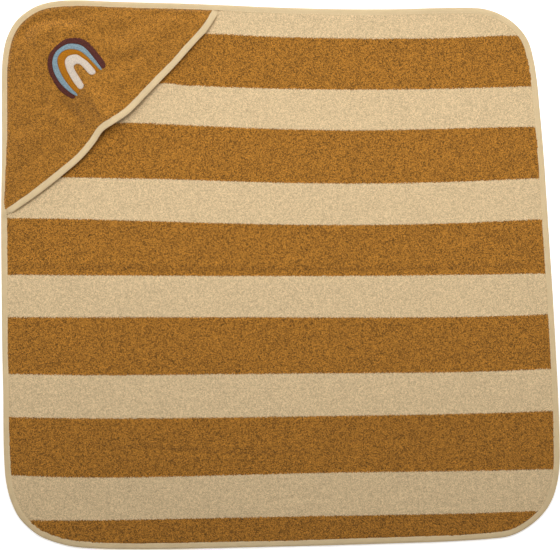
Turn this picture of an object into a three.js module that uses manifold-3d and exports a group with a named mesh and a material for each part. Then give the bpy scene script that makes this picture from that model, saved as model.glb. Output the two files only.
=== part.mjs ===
// Hooded baby towel: a square terry bath towel with rounded corners, a woven binding all round,
// and a terry hood sewn over one corner with an embroidered rainbow on it.
// Millimetres, +Z up. The towel lies flat; the hood is on its upper face, at the -X +Y corner.
import * as THREE from 'three';
import { mergeVertices } from 'three/addons/utils/BufferGeometryUtils.js';
import Module from 'manifold-3d';

const wasm = await Module();
wasm.setup();

// ---- driving dimensions ------------------------------------------------------------------
const TERRY = 4.4;                 // towel cloth, loops on both faces
const HEM_LOW = 1.5;               // the cloth's edge, pinched flat inside the binding
const HEM_HIGH = 2.9;
const BIND_WIDTH = 9.0;            // finished width of the binding on each face
const BIND_LOW = 0.6;              // underside and upper side of the folded binding
const BIND_HIGH = 3.8;
const BIND_LEAF = 0.6;             // one layer of folded binding tape
const BIND_WALL = 0.9;             // the tape where it turns round the edge
const GAP = 0.3;                   // clearance between touching pieces
const STITCH_INSET = 7.6;          // needle line, from the outer edge
const STITCH_WIDTH = 0.6;
const HOOD_TERRY = 4.0;            // hood cloth
const HOOD_BASE = TERRY + GAP;     // underside of the hood where it is sewn down
const HOOD_RISE = 9.0;             // how far the hood stands off the towel at the mouth
const HOOD_RISE_LENGTH = 60.0;     // distance from the seam over which it rises
const HOOD_INSET = BIND_WIDTH + 0.5;
const MOUTH_BAND = 9.5;            // finished width of the binding on the hood's free edge
const EMBROIDERY_THICK = 1.0;      // satin-stitch relief on the hood
const BACKING_THICK = 0.4;
const FOLD_S = -299.0;             // where the corner folds, along the (1,-1) diagonal

// Outer edge of the laid towel, counter-clockwise: corners of about 90 mm radius, sides slightly
// bowed, the +X side flaring towards the lower hem.
const OUTLINE = [
  [-315.4, 399.9], [-335.8, 397.4], [-352.6, 392.7], [-367.9, 384.7], [-383.7, 371.6], [-393.5, 357.0],
  [-399.6, 342.4], [-403.0, 327.8], [-405.6, 305.9], [-406.2, 254.8], [-406.5, 181.8], [-407.0, 108.8],
  [-407.0, 35.8], [-406.3, -37.2], [-405.6, -110.2], [-404.7, -183.2], [-403.8, -227.0], [-402.7, -270.8],
  [-399.6, -304.4], [-392.7, -330.7], [-381.8, -353.3], [-366.5, -370.1], [-350.4, -381.8], [-328.5, -390.6],
  [-303.7, -396.8], [-274.5, -399.6], [-233.6, -400.8], [-175.2, -400.8], [-116.8, -399.9], [-43.8, -398.1],
  [29.2, -396.4], [102.2, -394.3], [175.2, -392.0], [248.2, -389.4], [306.6, -385.6], [334.3, -381.8],
  [353.3, -373.8], [372.3, -360.6], [386.6, -346.0], [396.8, -329.2], [404.9, -302.9], [408.1, -273.8],
  [408.2, -241.6], [405.6, -183.2], [401.9, -110.2], [398.0, -37.2], [393.9, 35.8], [389.2, 108.8],
  [384.3, 181.8], [378.4, 247.5], [374.9, 284.0], [370.1, 313.2], [362.8, 339.4], [351.9, 356.2],
  [335.8, 371.1], [316.8, 381.8], [297.8, 387.6], [277.4, 389.4], [233.6, 389.1], [175.2, 387.6],
  [102.2, 387.3], [29.2, 388.8], [-29.2, 390.8], [-87.6, 393.5], [-146.0, 395.8], [-233.6, 398.1],
  [-292.0, 400.3]];

// Middle of the binding on the hood's free edge, from the upper hem to the left hem: it bows
// towards the towel and has a shallow S where the cloth is slack.
const MOUTH = [
  [-84.7, 394.9], [-90.5, 384.0], [-109.5, 354.1], [-116.8, 348.2], [-134.3, 327.8], [-156.2, 300.0],
  [-189.8, 270.8], [-223.4, 237.2], [-243.8, 224.1], [-261.3, 212.4], [-274.5, 193.4], [-292.0, 173.0],
  [-321.2, 147.5], [-357.7, 119.0], [-379.6, 103.7], [-394.2, 93.4], [-404.4, 86.1]];

// Boundaries of the four nested rainbow bands, outermost first, each from its lower-left foot
// over the top to its right foot.
const RAINBOW = [
  [[-301.7, 255.6], [-309.1, 259.8], [-318.4, 266.4], [-326.8, 276.6], [-333.3, 287.8], [-337.1, 297.1],
    [-338.5, 311.0], [-336.1, 320.4], [-329.6, 329.7], [-320.3, 338.0], [-312.9, 342.7], [-301.7, 344.6],
    [-290.5, 343.6], [-281.2, 339.0], [-271.9, 329.7], [-262.6, 318.5], [-256.1, 309.2], [-253.7, 303.6]],
  [[-297.0, 259.8], [-307.3, 266.4], [-318.4, 276.6], [-327.8, 290.6], [-331.5, 301.7], [-331.9, 312.0],
    [-327.8, 323.2], [-320.3, 330.6], [-311.0, 335.7], [-301.7, 336.7], [-290.5, 334.8], [-281.2, 328.7],
    [-271.9, 318.5], [-262.6, 306.4], [-257.5, 299.4]],
  [[-294.2, 261.7], [-305.4, 272.9], [-314.7, 285.0], [-321.2, 297.1], [-324.5, 308.3], [-324.0, 316.6],
    [-318.4, 324.1], [-311.0, 327.8], [-299.8, 328.3], [-290.5, 325.0], [-281.2, 317.6], [-271.9, 308.3],
    [-262.6, 298.0]],
  [[-291.4, 268.2], [-299.8, 278.5], [-307.3, 290.6], [-311.9, 300.8], [-313.8, 311.0], [-310.1, 317.6],
    [-303.5, 320.4], [-296.1, 320.8], [-287.7, 315.7], [-281.2, 311.0], [-271.9, 300.8], [-266.8, 294.3]],
  [[-284.9, 274.7], [-290.5, 284.0], [-297.0, 294.3], [-300.8, 302.7], [-299.8, 305.5], [-295.2, 307.3],
    [-290.5, 305.5], [-285.9, 300.8], [-279.3, 293.4], [-274.7, 290.1]]];
const RAINBOW_NAMES = ['embroidery_outer_band', 'embroidery_second_band', 'embroidery_third_band', 'embroidery_inner_band'];
const RAINBOW_COLOURS = [0x5a2e28, 0x8fadbd, 0xb8730f, 0xe4d2c6];
const BACKING_CENTRE = [-296, 300];
const BACKING_RADIUS = 54;

// ---- curves -------------------------------------------------------------------------------
const SQ = Math.SQRT1_2;
const toRS = (x, y) => [(x + y) * SQ, (x - y) * SQ];     // along the mouth, out of the corner
const toXY = (r, s) => [(r + s) * SQ, (r - s) * SQ];

function curveOf(points, closed = false) {
  return new THREE.CatmullRomCurve3(points.map(([x, y]) => new THREE.Vector3(x, y, 0)), closed, 'centripetal');
}

const edge = curveOf(OUTLINE, true);
const FINE = 1600;
const fine = edge.getSpacedPoints(FINE).slice(0, FINE);
const fineNormals = fine.map((_, i) => {
  const a = fine[(i + FINE - 3) % FINE], b = fine[(i + 3) % FINE];
  const t = b.clone().sub(a).normalize();
  return new THREE.Vector3(-t.y, t.x, 0);              // into the towel, as the outline is counter-clockwise
});

// The fewest of the fine points that keep the outline within TOL of the curve.
const TOL = 0.15;
function keep(i, j, out) {
  let worst = 0, at = -1;
  const a = fine[i % FINE], b = fine[j % FINE];
  const dx = b.x - a.x, dy = b.y - a.y, l = Math.hypot(dx, dy) || 1;
  for (let k = i + 1; k < j; k++) {
    const p = fine[k % FINE];
    const d = Math.abs((p.x - a.x) * dy - (p.y - a.y) * dx) / l;
    if (d > worst) { worst = d; at = k; }
  }
  if (worst > TOL) { keep(i, at, out); out.push(at); keep(at, j, out); }
}
const picked = [0];
keep(0, FINE / 2, picked);
picked.push(FINE / 2);
keep(FINE / 2, FINE, picked);
const ring = (inset) => picked.map((i) => fine[i].clone().addScaledVector(fineNormals[i], inset));

// s of the outline at a given inset, as a function of r, round the hood's corner.
function cornerLine(inset) {
  const line = fine.map((p, i) => p.clone().addScaledVector(fineNormals[i], inset))
    .filter((p) => p.x < -60 && p.y > 60)
    .map((p) => toRS(p.x, p.y)).sort((a, b) => a[0] - b[0]);
  return (r) => {
    let lo = 0, hi = line.length - 1;
    if (r <= line[0][0]) return line[0][1];
    if (r >= line[hi][0]) return line[hi][1];
    while (hi - lo > 1) { const m = (lo + hi) >> 1; if (line[m][0] > r) hi = m; else lo = m; }
    const f = (r - line[lo][0]) / (line[hi][0] - line[lo][0]);
    return line[lo][1] + f * (line[hi][1] - line[lo][1]);
  };
}
const seamLine = cornerLine(HOOD_INSET);
const coverLine = cornerLine(4);

// ---- solids -------------------------------------------------------------------------------
function bare(geometry) {
  const g = geometry.clone();
  g.deleteAttribute('normal');
  g.deleteAttribute('uv');
  return mergeVertices(g, 1e-4);
}
function outward(geometry) {
  const p = geometry.attributes.position, ix = geometry.index.array;
  const a = new THREE.Vector3(), b = new THREE.Vector3(), c = new THREE.Vector3();
  let volume = 0;
  for (let i = 0; i < ix.length; i += 3) {
    a.fromBufferAttribute(p, ix[i]); b.fromBufferAttribute(p, ix[i + 1]); c.fromBufferAttribute(p, ix[i + 2]);
    volume += a.dot(b.cross(c));
  }
  if (volume < 0) for (let i = 0; i < ix.length; i += 3) { const t = ix[i]; ix[i] = ix[i + 1]; ix[i + 1] = t; }
  return geometry;
}
function solid(geometry) {
  const g = outward(bare(geometry));
  return new wasm.Manifold(new wasm.Mesh({
    numProp: 3,
    vertProperties: new Float32Array(g.attributes.position.array),
    triVerts: new Uint32Array(g.index.array),
  }));
}
function geometryOf(manifold) {
  const m = manifold.getMesh();
  const g = new THREE.BufferGeometry();
  g.setAttribute('position', new THREE.BufferAttribute(new Float32Array(m.vertProperties), 3));
  g.setIndex(new THREE.BufferAttribute(new Uint32Array(m.triVerts), 1));
  g.computeVertexNormals();
  return g;
}
function prism(points, low, high) {
  const g = new THREE.ExtrudeGeometry(new THREE.Shape(points.map((p) => new THREE.Vector2(p.x, p.y))),
    { depth: high - low, bevelEnabled: false, steps: 1 });
  g.translate(0, 0, low);
  return solid(g);
}
// A box whose corners 0..1 are carried to (x, y, z) by place(u, v, w).
function block(nu, nv, nw, place) {
  const g = new THREE.BoxGeometry(1, 1, 1, nu, nv, nw);
  const p = g.attributes.position;
  for (let i = 0; i < p.count; i++) {
    const [x, y, z] = place(p.getX(i) + 0.5, p.getY(i) + 0.5, p.getZ(i) + 0.5);
    p.setXYZ(i, x, y, z);
  }
  return solid(g);
}
// Everything on one side of the fold: side +1 is the towel, -1 is the corner.
function halfSpace(side) {
  const g = new THREE.BoxGeometry(3000, 1500, 200);
  g.translate(0, -side * (750 + GAP / 2), 0);          // +s is -Y before turning
  g.rotateZ(Math.PI / 4);
  const [x, y] = toXY(0, FOLD_S);
  g.translate(x, y, 0);
  return solid(g);
}
const towelSide = halfSpace(1);
const cornerSide = halfSpace(-1);

// ---- the towel cloth and its binding ------------------------------------------------------
const cloth = prism(ring(BIND_WIDTH + GAP), 0, TERRY).add(prism(ring(BIND_WALL + GAP), HEM_LOW, HEM_HIGH));
const tape = prism(ring(0), BIND_LOW, BIND_HIGH)
  .subtract(prism(ring(BIND_WALL), BIND_LOW + BIND_LEAF, BIND_HIGH - BIND_LEAF))
  .subtract(prism(ring(BIND_WIDTH), -1, 6));
const seam = (low, high) => prism(ring(STITCH_INSET), low, high)
  .subtract(prism(ring(STITCH_INSET + STITCH_WIDTH), low - 1, high + 1));
const needleThread = seam(BIND_HIGH + GAP, BIND_HIGH + 2 * GAP);
const bobbinThread = seam(0.02, BIND_LOW - GAP);

// ---- the hood -----------------------------------------------------------------------------
const mouth = curveOf(MOUTH);
const MOUTH_SAMPLES = 400;
const mouthPoints = mouth.getSpacedPoints(MOUTH_SAMPLES);
function mouthAt(t) {
  const f = Math.min(Math.max(t, 0), 1) * MOUTH_SAMPLES;
  const i = Math.min(Math.floor(f), MOUTH_SAMPLES - 1), k = f - i;
  const a = mouthPoints[Math.max(i - 6, 0)], b = mouthPoints[Math.min(i + 7, MOUTH_SAMPLES)];
  const d = b.clone().sub(a).normalize();
  const p = mouthPoints[i].clone().lerp(mouthPoints[i + 1], k);
  return { x: p.x, y: p.y, nx: -d.y, ny: d.x };          // normal turned below to point at the towel
}
const mouthSign = (() => { const q = mouthAt(0.5); return (q.nx - q.ny) > 0 ? 1 : -1; })();
function beside(t, w) {                                  // w > 0 is on the towel's side of the edge
  const q = mouthAt(t);
  return [q.x + mouthSign * q.nx * w, q.y + mouthSign * q.ny * w];
}
const mouthDepth = (() => { const [x, y] = beside(0.5, 0); const [r, s] = toRS(x, y); return s - seamLine(r); })();
// Height of the hood's underside above the floor.
function under(x, y) {
  const [r, s] = toRS(x, y);
  const m = Math.max(s - seamLine(r), 0);
  return HOOD_BASE + HOOD_RISE * (1 - Math.exp(-m / HOOD_RISE_LENGTH)) / (1 - Math.exp(-mouthDepth / HOOD_RISE_LENGTH));
}

// The stretch of the mouth where the hood has any width.
const half = MOUTH_BAND / 2;
const wCloth = -(half + GAP);
let tLow = 0, tHigh = 1;
const widthAt = (t) => { const [r, s] = toRS(...beside(t, wCloth)); return s - coverLine(r); };
while (widthAt(tLow) < 1) tLow += 0.001;
while (widthAt(tHigh) < 1) tHigh -= 0.001;

const trim = prism(ring(HOOD_INSET), 2, 60);
const COLUMNS = 44;                     // the cloth and its binding share their columns, so their facets stay parallel
const ACROSS = [0, 0.05, 0.13, 0.23, 0.35, 0.48, 0.61, 0.75, 0.88, 1];
const hoodHem = [HOOD_TERRY * 0.325, HOOD_TERRY * 0.675];
const wHem = half - BIND_WALL - GAP;
// Across the hood: its cloth at full thickness, then the pinched hem inside the binding.
const hoodCloth = block(COLUMNS, ACROSS.length + 1, 1, (u, v, h) => {
  const t = tLow + u * (tHigh - tLow);
  const row = Math.round(v * (ACROSS.length + 1));
  const hem = row >= ACROSS.length;
  let x, y;
  if (row < ACROSS.length) {
    const [ex, ey] = beside(t, wCloth);
    const [r, s] = toRS(ex, ey);
    const s0 = coverLine(r);
    [x, y] = toXY(r, s0 + (s - s0) * ACROSS[row]);
  } else {
    [x, y] = beside(t, row === ACROSS.length ? wCloth + 0.05 : wHem);
  }
  const z = under(x, y) + (hem ? hoodHem[h > 0.5 ? 1 : 0] : h * HOOD_TERRY);
  return [x, y, z];
}).intersect(trim);

const MOUTH_COLUMNS = COLUMNS;
const strip = (w0, w1, low, high, nv = 2) => block(MOUTH_COLUMNS, nv, 1, (u, v, h) => {
  const [x, y] = beside(tLow + u * (tHigh - tLow), w0 + v * (w1 - w0));
  return [x, y, under(x, y) + (h > 0.5 ? high : low)];
});
const mouthLow = 0.3, mouthHigh = HOOD_TERRY - 0.3;
const hoodTape = strip(-half, half, mouthLow, mouthHigh)
  .subtract(strip(-half - 3, half - BIND_WALL, mouthLow + BIND_LEAF, mouthHigh - BIND_LEAF))
  .intersect(trim);
const wStitch = -half + MOUTH_BAND - STITCH_INSET;
const hoodNeedle = strip(wStitch - STITCH_WIDTH, wStitch, mouthHigh + GAP, mouthHigh + 2 * GAP, 1).intersect(trim);
const hoodBobbin = strip(wStitch - STITCH_WIDTH, wStitch, mouthLow - 2 * GAP, mouthLow - GAP, 1).intersect(trim);

// ---- the embroidery -------------------------------------------------------------------------
const BAND_STEPS = 22;
const bands = RAINBOW_NAMES.map((_, i) => {
  const outer = curveOf(RAINBOW[i]), inner = curveOf(RAINBOW[i + 1]);
  const a = outer.getSpacedPoints(BAND_STEPS), b = inner.getSpacedPoints(BAND_STEPS);
  return block(BAND_STEPS, 2, 1, (u, v, h) => {
    const k = Math.round(u * BAND_STEPS);
    const span = a[k].distanceTo(b[k]);
    const inset = (GAP / 2 + 0.05) / span;
    const f = inset + v * (1 - 2 * inset);
    const p = a[k].clone().lerp(b[k], f);
    return [p.x, p.y, under(p.x, p.y) + HOOD_TERRY + GAP + 0.05 + h * EMBROIDERY_THICK];
  });
});
const backing = block(8, 8, 1, (u, v, h) => {
  const a = 2 * u - 1, b = 2 * v - 1;
  const x = BACKING_CENTRE[0] + BACKING_RADIUS * a * Math.sqrt(1 - b * b / 2);
  const y = BACKING_CENTRE[1] + BACKING_RADIUS * b * Math.sqrt(1 - a * a / 2);
  return [x, y, under(x, y) - GAP - 0.05 - (1 - h) * BACKING_THICK];
});

// ---- assembly -------------------------------------------------------------------------------
// The origin is under the middle of the towel's bounding box.
const box = new THREE.Box3().setFromPoints(ring(0));
const shift = box.getCenter(new THREE.Vector3()).negate().setZ(0);

const towel = new THREE.Group();
towel.name = 'hooded_baby_towel';
const group = (name) => { const g = new THREE.Group(); g.name = name; towel.add(g); return g; };
const main = group('towel_group'), corner = group('corner_group'), hood = group('hood_group');

function add(parent, name, manifold, color, roughness) {
  const mesh = new THREE.Mesh(geometryOf(manifold), new THREE.MeshStandardMaterial({ color, roughness, metalness: 0 }));
  mesh.name = name;
  mesh.position.copy(shift);
  parent.add(mesh);
}
const TERRY_COLOUR = 0xc8a469, HOOD_COLOUR = 0xa5702c, TAPE_COLOUR = 0xdcc296, THREAD_COLOUR = 0xd8bf93;
add(main, 'towel_main_panel', cloth.intersect(towelSide), TERRY_COLOUR, 0.95);
add(main, 'edge_binding_main', tape.intersect(towelSide), TAPE_COLOUR, 0.8);
add(main, 'edge_needle_thread_main', needleThread.intersect(towelSide), THREAD_COLOUR, 0.6);
add(main, 'edge_bobbin_thread_main', bobbinThread.intersect(towelSide), THREAD_COLOUR, 0.6);
add(corner, 'towel_corner_panel', cloth.intersect(cornerSide), TERRY_COLOUR, 0.95);
add(corner, 'edge_binding_corner', tape.intersect(cornerSide), TAPE_COLOUR, 0.8);
add(corner, 'edge_needle_thread_corner', needleThread.intersect(cornerSide), THREAD_COLOUR, 0.6);
add(corner, 'edge_bobbin_thread_corner', bobbinThread.intersect(cornerSide), THREAD_COLOUR, 0.6);
add(hood, 'hood_panel', hoodCloth, HOOD_COLOUR, 0.95);
add(hood, 'hood_edge_binding', hoodTape, TAPE_COLOUR, 0.8);
add(hood, 'hood_needle_thread', hoodNeedle, THREAD_COLOUR, 0.6);
add(hood, 'hood_bobbin_thread', hoodBobbin, THREAD_COLOUR, 0.6);
bands.forEach((b, i) => add(hood, RAINBOW_NAMES[i], b, RAINBOW_COLOURS[i], 0.5));
add(hood, 'embroidery_backing', backing, 0xeeeae2, 0.9);

export default towel;
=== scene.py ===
"""Hooded baby towel: the looks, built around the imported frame. Metres, +Z up, in the frame's axes."""
import math

import bpy
import numpy as np
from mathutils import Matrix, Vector, kdtree


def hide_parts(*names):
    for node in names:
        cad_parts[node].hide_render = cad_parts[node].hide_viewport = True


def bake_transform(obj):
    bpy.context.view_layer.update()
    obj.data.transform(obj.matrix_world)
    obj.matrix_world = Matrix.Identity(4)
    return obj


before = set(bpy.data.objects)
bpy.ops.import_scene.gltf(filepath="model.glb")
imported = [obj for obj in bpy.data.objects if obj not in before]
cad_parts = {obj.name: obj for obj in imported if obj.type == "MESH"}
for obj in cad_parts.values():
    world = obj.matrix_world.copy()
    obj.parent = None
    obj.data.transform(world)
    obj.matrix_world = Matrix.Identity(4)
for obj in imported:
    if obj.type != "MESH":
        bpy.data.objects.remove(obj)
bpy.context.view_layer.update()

S2 = math.sqrt(0.5)

# ------------------------------------------------------------------ sizes, millimetres
TERRY = 4.2            # striped cloth, floor to the tips of the loops
BIND_WIDTH = 9.0
BIND_TOP = 3.9
SEAM_INSET = 9.5       # where the hood is sewn down
HOOD_TERRY = 4.0
HOOD_BASE = 4.6
HOOD_RISE = 3.2
HOOD_RISE_LENGTH = 60.0
MOUTH_BAND = 9.5
STITCH_PITCH = 3.0
STITCH_INSET = 7.6
FOLD_S = -299.0
EYE = 1.9278           # metres from the camera to the flat cloth
PX = 1.46              # spacing of the stripe table below, in mm

OUTLINE = [
    (-315.4, 399.9), (-335.8, 397.4), (-352.6, 392.7), (-367.9, 384.7), (-383.7, 371.6), (-393.5, 357.0),
    (-399.6, 342.4), (-403.0, 327.8), (-405.6, 305.9), (-406.2, 254.8), (-405.9, 181.8), (-407.0, 108.8),
    (-407.0, 35.8), (-406.3, -37.2), (-405.6, -110.2), (-404.0, -183.2), (-403.8, -227.0), (-402.7, -270.8),
    (-399.6, -304.4), (-392.7, -330.7), (-381.8, -353.3), (-366.5, -370.1), (-350.4, -381.8), (-328.5, -390.6),
    (-303.7, -396.8), (-274.5, -399.6), (-233.6, -400.8), (-175.2, -400.8), (-116.8, -399.9), (-43.8, -398.1),
    (29.2, -396.4), (102.2, -394.3), (175.2, -392.0), (248.2, -389.4), (306.6, -385.6), (334.3, -381.8),
    (353.3, -373.8), (372.3, -360.6), (386.6, -346.0), (396.8, -329.2), (404.9, -302.9), (408.1, -273.8),
    (408.2, -241.6), (406.3, -183.2), (402.7, -110.2), (398.6, -37.2), (393.9, 35.8), (389.2, 108.8),
    (384.3, 181.8), (378.4, 247.5), (374.9, 284.0), (370.1, 313.2), (362.8, 339.4), (351.9, 356.2),
    (335.8, 371.1), (316.8, 381.8), (297.8, 387.6), (277.4, 389.4), (233.6, 389.1), (175.2, 387.6),
    (102.2, 387.3), (29.2, 388.8), (-29.2, 390.8), (-87.6, 393.5), (-146.0, 395.8), (-233.6, 398.1),
    (-292.0, 400.3)]
MOUTH = [
    (-85.7, 395.9), (-92.4, 385.9), (-111.8, 356.4), (-118.4, 349.6), (-136.3, 329.8), (-159.8, 303.6),
    (-190.9, 271.9), (-224.1, 237.9), (-244.0, 224.3), (-261.3, 212.4), (-274.5, 193.4), (-292.0, 173.0),
    (-321.2, 147.5), (-357.7, 119.0), (-379.6, 103.7), (-394.2, 93.4), (-404.4, 86.1)]
RAINBOW = [
    [(-301.7, 255.6), (-309.1, 259.8), (-318.4, 266.4), (-326.8, 276.6), (-333.3, 287.8), (-337.1, 297.1),
     (-338.5, 311.0), (-336.1, 320.4), (-329.6, 329.7), (-320.3, 338.0), (-312.9, 342.7), (-301.7, 344.6),
     (-290.5, 343.6), (-281.2, 339.0), (-271.9, 329.7), (-262.6, 318.5), (-256.1, 309.2), (-253.7, 303.6)],
    [(-297.0, 259.8), (-307.3, 266.4), (-318.4, 276.6), (-327.8, 290.6), (-331.5, 301.7), (-331.9, 312.0),
     (-327.8, 323.2), (-320.3, 330.6), (-311.0, 335.7), (-301.7, 336.7), (-290.5, 334.4), (-281.6, 327.8),
     (-272.7, 317.4), (-263.6, 305.4), (-258.4, 298.6)],
    [(-294.2, 261.7), (-305.4, 272.9), (-314.7, 285.0), (-321.2, 297.1), (-324.5, 308.3), (-324.0, 316.6),
     (-318.4, 324.1), (-311.0, 327.8), (-299.8, 328.3), (-290.5, 325.0), (-281.2, 317.6), (-271.9, 308.3),
     (-262.6, 298.0)],
    [(-291.4, 268.2), (-299.8, 278.5), (-307.3, 290.6), (-311.9, 300.8), (-313.8, 311.0), (-310.1, 317.6),
     (-303.5, 320.4), (-296.1, 320.8), (-287.7, 315.7), (-281.2, 311.0), (-271.9, 300.8), (-266.8, 294.3)],
    [(-284.9, 274.7), (-290.5, 284.0), (-297.0, 294.3), (-300.8, 302.7), (-299.8, 305.5), (-295.2, 307.3),
     (-290.5, 305.5), (-285.9, 300.8), (-279.3, 293.4), (-274.7, 290.1)]]

# Where each stripe edge lies, as (x from the left, y from the top) in steps of PX, from the top
# of the towel down. The stripes were woven straight: the cloth lies slightly bowed.
STRIPES = [
    ([200, 250, 300, 350, 400, 450, 500], [37.5, 37, 38, 39, 39, 38, 36]),
    ([200, 250, 300, 350, 400, 450, 500, 530], [86.5, 88, 90, 90, 90, 89, 87.5, 87]),
    ([150, 200, 250, 300, 350, 400, 450, 500, 530], [124.5, 126, 128, 130, 130, 130, 129, 127, 127]),
    ([150, 200, 250, 300, 350, 400, 450, 500, 530], [179, 181, 182, 183, 184, 184, 182, 180, 179]),
    ([20, 60, 150, 200, 250, 300, 350, 400, 450, 500, 530], [218, 219, 221, 223, 223, 225, 225, 225, 223, 220.5, 220]),
    ([20, 60, 150, 250, 350, 400, 450, 500, 530], [275, 275.2, 276, 276, 276, 276, 275, 274, 274]),
    ([20, 60, 150, 250, 300, 350, 400, 450, 500, 530, 545], [317, 317, 317, 317, 317.5, 317, 317, 317, 316, 315, 314]),
    ([20, 60, 150, 200, 250, 300, 400, 450, 500, 530, 545], [374, 375, 375, 374.4, 374, 373.4, 373, 372, 371, 369.5, 369]),
    ([20, 60, 150, 200, 250, 300, 350, 400, 450, 500, 530, 545], [417, 417.4, 418, 417.6, 417, 415.6, 415, 415, 414, 412, 411, 411]),
    ([20, 60, 150, 200, 250, 300, 350, 400, 450, 500, 530, 545], [475.5, 476.6, 477, 476, 474.4, 473, 472, 472, 471, 470, 470, 469]),
    ([60, 150, 200, 250, 300, 350, 400, 450, 500, 530], [520, 519, 518, 517, 515.4, 515, 515, 513, 511.4, 511]),
]
SPAN = 600.0           # the cloth's coordinates run over this many steps
# Beside the hood the cloth is drawn up a little: (where the hood's edge is, how far, over what length, how sharply)
DRAWN = [(199, 3.3, 52, 2.2), (152, 2.9, 27, 4.0), (115, 1.5, 55, 3.0), (57, 1.5, 60, 2.0)]

# Soft creases in the laid cloth: polyline in steps of PX, depth in mm (negative is a valley), half width in mm.
CREASES = [
    ([(8, 268), (120, 271), (260, 272), (400, 271), (548, 268)], -0.9, 5.0),
    ([(8, 262), (140, 264), (300, 264), (420, 264), (546, 261)], 0.5, 7.0),
    ([(88, 451), (150, 449), (200, 452), (250, 455), (320, 453)], -0.8, 4.0),
    ([(330, 446), (380, 442), (420, 436)], -0.4, 5.0),
    ([(205, 316), (206, 345), (203, 372)], -0.6, 3.2),
    ([(284, 318), (286, 350), (290, 380)], -0.45, 3.4),
    ([(375, 320), (377, 350), (376, 372)], -0.45, 3.2),
    ([(322, 318), (320, 345), (318, 366)], -0.3, 3.2),
    ([(455, 326), (478, 338), (497, 356), (508, 364)], -0.6, 4.0),
    ([(505, 318), (525, 334), (546, 360)], -0.75, 4.2),
    ([(280, 130), (292, 140), (302, 154)], -0.4, 3.6),
    ([(160, 62), (180, 110), (186, 180), (182, 220)], -0.25, 6.0),
    ([(90, 300), (92, 350), (88, 400)], -0.25, 5.0),
    ([(260, 505), (290, 498), (340, 500)], -0.4, 4.0),
    ([(60, 440), (64, 470), (80, 500)], 0.35, 6.0),
    ([(430, 395), (470, 392), (520, 398)], 0.35, 8.0),
    ([(120, 395), (170, 400), (230, 397)], 0.3, 8.0),
]


# ------------------------------------------------------------------ curves
def catmull(points, closed, per=40):
    """Centripetal Catmull-Rom through the points, as the frame's own curves are."""
    p = np.array(points, float)
    n = len(p)
    out = []
    for i in range(n if closed else n - 1):
        if closed:
            q = [p[(i - 1) % n], p[i], p[(i + 1) % n], p[(i + 2) % n]]
        else:
            q = [p[i - 1] if i else 2 * p[0] - p[1], p[i], p[i + 1], p[i + 2] if i + 2 < n else 2 * p[-1] - p[-2]]
        d = [max(np.sum((q[k + 1] - q[k]) ** 2) ** 0.25, 1e-4) for k in range(3)]
        t1 = ((q[1] - q[0]) / d[0] - (q[2] - q[0]) / (d[0] + d[1]) + (q[2] - q[1]) / d[1]) * d[1]
        t2 = ((q[2] - q[1]) / d[1] - (q[3] - q[1]) / (d[1] + d[2]) + (q[3] - q[2]) / d[2]) * d[1]
        t = np.arange(per)[:, None] / per
        a, b = q[1], q[2]
        out.append(a + t1 * t + (-3 * a + 3 * b - 2 * t1 - t2) * t**2 + (2 * a - 2 * b + t1 + t2) * t**3)
    line = np.concatenate(out)
    return line if closed else np.vstack([line, p[-1]])


def resample(line, count, closed):
    """count points at equal steps along a line."""
    loop = np.vstack([line, line[:1]]) if closed else line
    s = np.concatenate([[0], np.cumsum(np.linalg.norm(np.diff(loop, axis=0), axis=1))])
    want = np.linspace(0, s[-1], count + 1)[:-1] if closed else np.linspace(0, s[-1], count)
    return np.stack([np.interp(want, s, loop[:, k]) for k in range(loop.shape[1])], 1), s[-1]


def left_normals(line, closed, reach=2):
    if closed:
        t = np.roll(line, -reach, 0) - np.roll(line, reach, 0)
    else:
        n = len(line)
        i = np.arange(n)
        t = line[np.minimum(i + reach, n - 1)] - line[np.maximum(i - reach, 0)]
    t /= np.linalg.norm(t, axis=1)[:, None]
    return np.stack([-t[:, 1], t[:, 0]], 1)


raw = catmull(OUTLINE, True)
SHIFT = -(raw.min(0) + raw.max(0)) / 2
EDGE, EDGE_LENGTH = resample(raw + SHIFT, 3030, True)
EDGE_IN = left_normals(EDGE, True)
MOUTH_LINE, MOUTH_LENGTH = resample(catmull(MOUTH, False) + SHIFT, 440, False)
MOUTH_OUT = left_normals(MOUTH_LINE, False, 5)
if (MOUTH_OUT[220] @ np.array([1, -1])) < 0:
    MOUTH_OUT = -MOUTH_OUT


def tree_of(points):
    t = kdtree.KDTree(len(points))
    for i, p in enumerate(points):
        t.insert((p[0], p[1], 0.0), i)
    t.balance()
    return t


EDGE_TREE = tree_of(EDGE)
MOUTH_TREE = tree_of(MOUTH_LINE)


def beside(tree, line, normals, pts, far=None):
    """Signed distance of points from a line, positive on its normals' side, and the nearest sample."""
    near = np.empty(len(pts), int)
    find = tree.find
    for k, (x, y) in enumerate(pts):
        near[k] = find((x, y, 0.0))[1]
    return np.einsum("ij,ij->i", pts - line[near], normals[near]), near


def inset_of(pts):
    """How far inside the towel's edge each point is, in mm. Well inside, it is only a large number."""
    x, y = pts[:, 0], pts[:, 1]
    deep = ((np.abs(x) < 345) & (np.abs(y) < 285)) | ((np.abs(x) < 285) & (np.abs(y) < 350))
    out = np.full(len(pts), 100.0)
    out[~deep] = beside(EDGE_TREE, EDGE, EDGE_IN, pts[~deep])[0]
    return out


def rs(x, y):
    return (x + y) * S2, (x - y) * S2


def line_s(inset):
    """s of the edge at an inset, against r, round the hood's corner."""
    p = EDGE + EDGE_IN * inset
    p = p[(p[:, 0] < -60) & (p[:, 1] > 60)]
    r, s = rs(p[:, 0], p[:, 1])
    k = np.argsort(r)
    return r[k], s[k]


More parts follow.
